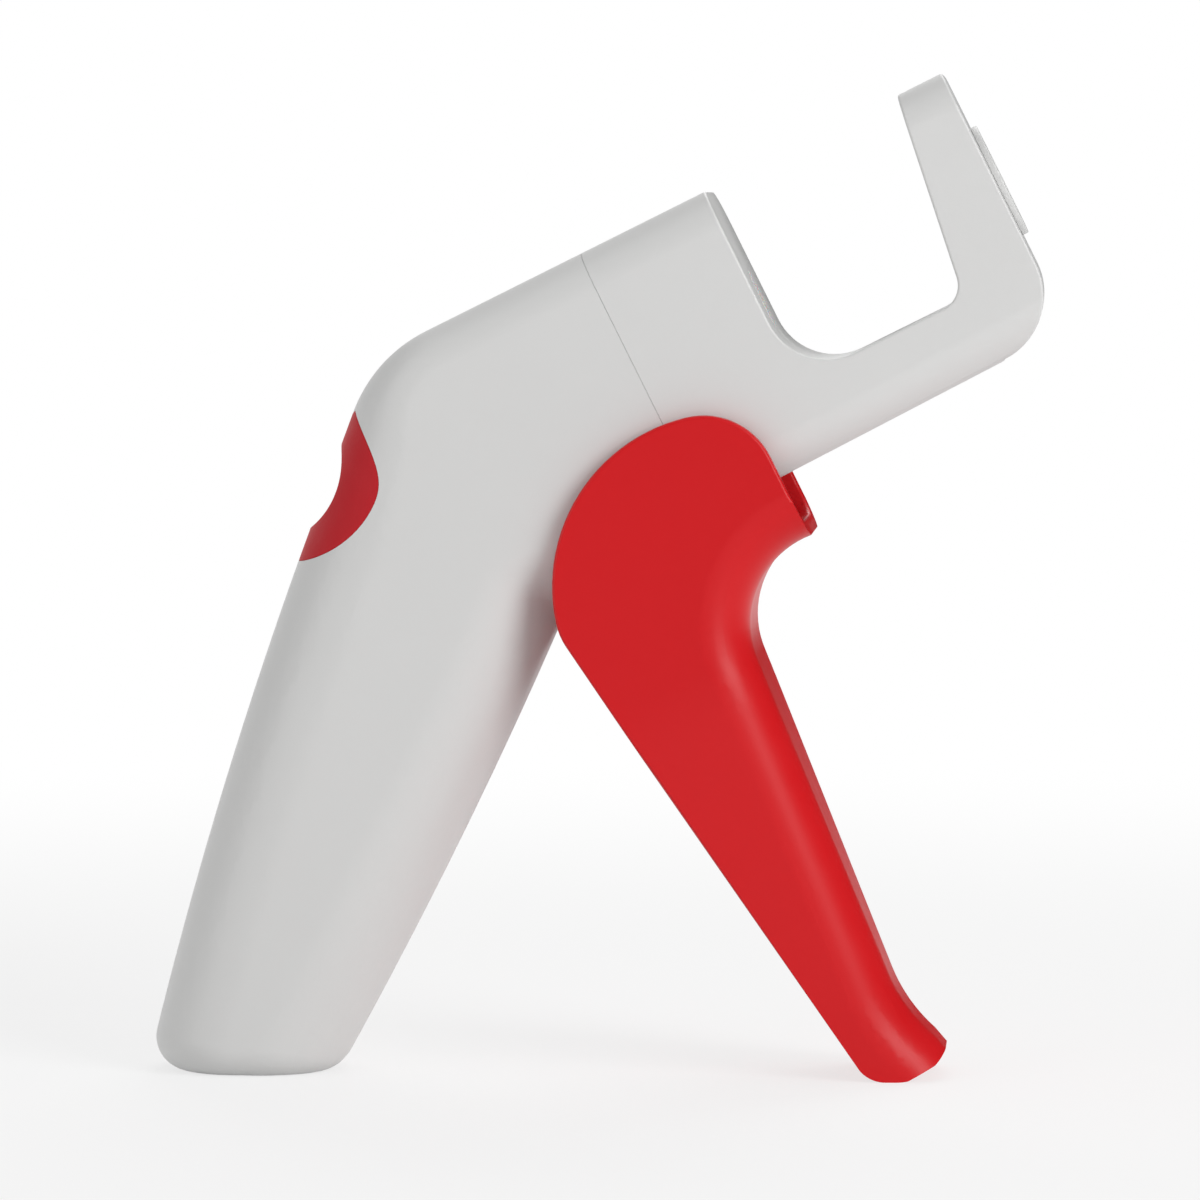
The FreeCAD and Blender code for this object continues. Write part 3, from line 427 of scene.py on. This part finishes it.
def black_velvet():
    """Velvet on a card: gives the eye nothing but a dark reflection in the glossy pieces."""
    velvet = bpy.data.materials.get("black_velvet_card")
    if not velvet:
        velvet = start_material("black_velvet_card", {"Base Color": linear("0A0A0A"), "Roughness": 1.0})[0]
    return velvet


def dark_card(name, spot, facing):
    """A black card out of the picture that only reflections see, so that moulded edges keep their colour."""
    card = flat_square(name, CARD_HALF)
    card.location = spot
    card.rotation_euler = Vector(facing).to_track_quat("Z", "Y").to_euler()
    for ray in ("camera", "diffuse", "shadow", "transmission"):
        setattr(card, "visible_" + ray, False)
    card.data.materials.append(black_velvet())
    return card


def background_rays(tree):
    """A value of one for the rays that see the background."""
    path = add_node(tree, "ShaderNodeLightPath").outputs
    seen = path["Is Camera Ray"]
    for ray in ("Is Glossy Ray", "Is Transmission Ray"):
        either = add_node(tree, "ShaderNodeMath", {"operation": "MAXIMUM"}, {0: seen, 1: path[ray]})
        seen = either.outputs[0]
    return seen


def paper_sweep():
    """Pale matt paper: takes the object's soft shadow, and runs into the white background far away."""
    pale = bpy.data.materials.new("pale_paper_sweep")
    pale.use_nodes = True
    tree = pale.node_tree
    tree.nodes.clear()
    matt = add_node(tree, "ShaderNodeBsdfDiffuse", {"Color": linear("F4F4F4")})
    glow = add_node(tree, "ShaderNodeEmission", {"Color": (1, 1, 1, 1), "Strength": 1.0})
    place = add_node(tree, "ShaderNodeTexCoord").outputs["Object"]
    away = add_node(tree, "ShaderNodeVectorMath", {"operation": "LENGTH"}, {0: place})
    fade = add_node(tree, "ShaderNodeMapRange",
                    {"interpolation_type": "SMOOTHSTEP", "From Min": FLOOR_FADE_FROM,
                     "From Max": FLOOR_FADE_TO, "To Min": FLOOR_GLOW, "To Max": 1.0},
                    {"Value": away.outputs["Value"]})
    share = add_node(tree, "ShaderNodeMath", {"operation": "MULTIPLY"},
                     {0: background_rays(tree), 1: fade.outputs["Result"]})
    mix = add_node(tree, "ShaderNodeMixShader",
                   links={0: share.outputs[0], 1: matt.outputs[0], 2: glow.outputs[0]})
    add_node(tree, "ShaderNodeOutputMaterial", links={0: mix.outputs[0]})
    return pale


def studio_world():
    """Even light from all round, and a white background for the rays that see it."""
    world = bpy.data.worlds.new("studio")
    world.use_nodes = True
    tree = world.node_tree
    tree.nodes.clear()
    level = spread(tree, background_rays(tree), WORLD_LIGHT, 1.0)
    sky = add_node(tree, "ShaderNodeBackground", {"Color": (1, 1, 1, 1)}, {"Strength": level})
    add_node(tree, "ShaderNodeOutputWorld", links={0: sky.outputs[0]})
    return world


def aimed_camera(view):
    """The camera of the photograph's viewing angle."""
    lens = bpy.data.cameras.new("camera")
    lens.sensor_width = SENSOR
    lens.sensor_fit = "HORIZONTAL"
    lens.lens = SENSOR * view.distance / view.span
    lens.clip_start = 0.01
    lens.clip_end = 50.0
    camera = bpy.data.objects.new("camera", lens)
    target = Vector((view.middle_x, 0.0, view.middle_z))
    away = Vector((math.sin(view.azimuth) * math.cos(view.elevation),
                   -math.cos(view.azimuth) * math.cos(view.elevation), math.sin(view.elevation)))
    camera.location = target + away * view.distance
    camera.rotation_euler = (-away).to_track_quat("-Z", "Y").to_euler()
    bpy.context.scene.collection.objects.link(camera)
    return camera


class PITTER_OT_stage(bpy.types.Operator):
    """Set the plain pale floor, the soft studio light and the camera"""
    bl_idname = "pitter.stage"
    bl_label = "Stage"

    def execute(self, context):
        scene = context.scene
        floor = flat_square("floor", FLOOR_HALF)
        floor.data.materials.append(paper_sweep())
        scene.world = studio_world()

        area_light("key_softbox", (0.85, -0.78, 0.50), 0.7, 7.5)
        area_light("fill_softbox", (-0.9, -0.8, 0.35), 0.8, 1.6)
        area_light("back_softbox", (0.1, 0.9, 0.9), 0.8, 4.0)
        dark_card("front_card", (0.0, -1.5, 0.6), (0.0, 1.0, 0.0))
        dark_card("side_card", (1.5, 0.0, 0.6), (-1.0, 0.0, 0.0))
        dark_card("far_card", (1.1, 1.5, 0.6), (-0.6, -0.8, 0.0))

        scene.camera = aimed_camera(scene.pitter_camera)
        scene.view_settings.view_transform = "Standard"
        return {"FINISHED"}


class PITTER_PT_panel(bpy.types.Panel):
    """Lists the pitter's pieces"""
    bl_idname = "PITTER_PT_panel"
    bl_label = "Fruit Pitter"
    bl_space_type = "VIEW_3D"
    bl_region_type = "UI"
    bl_category = "Pitter"

    def draw(self, context):
        for operator in OPERATORS:
            self.layout.operator(operator.bl_idname)


OPERATORS = (
    PITTER_OT_casing, PITTER_OT_thumb_pad, PITTER_OT_lever, PITTER_OT_mechanism, PITTER_OT_stage,
)
CLASSES = (PitterSizes, PitterColours, PitterCamera) + OPERATORS + (PITTER_PT_panel,)


def register():
    for cls in CLASSES:
        bpy.utils.register_class(cls)
    bpy.types.Scene.pitter_sizes = bpy.props.PointerProperty(type=PitterSizes)
    bpy.types.Scene.pitter_colours = bpy.props.PointerProperty(type=PitterColours)
    bpy.types.Scene.pitter_camera = bpy.props.PointerProperty(type=PitterCamera)


def unregister():
    del bpy.types.Scene.pitter_camera
    del bpy.types.Scene.pitter_colours
    del bpy.types.Scene.pitter_sizes
    for cls in reversed(CLASSES):
        bpy.utils.unregister_class(cls)


def main():
    register()
    bpy.ops.pitter.casing()
    bpy.ops.pitter.thumb_pad()
    bpy.ops.pitter.lever()
    bpy.ops.pitter.mechanism()
    bpy.ops.pitter.stage()


if __name__ == "__main__":
    main()
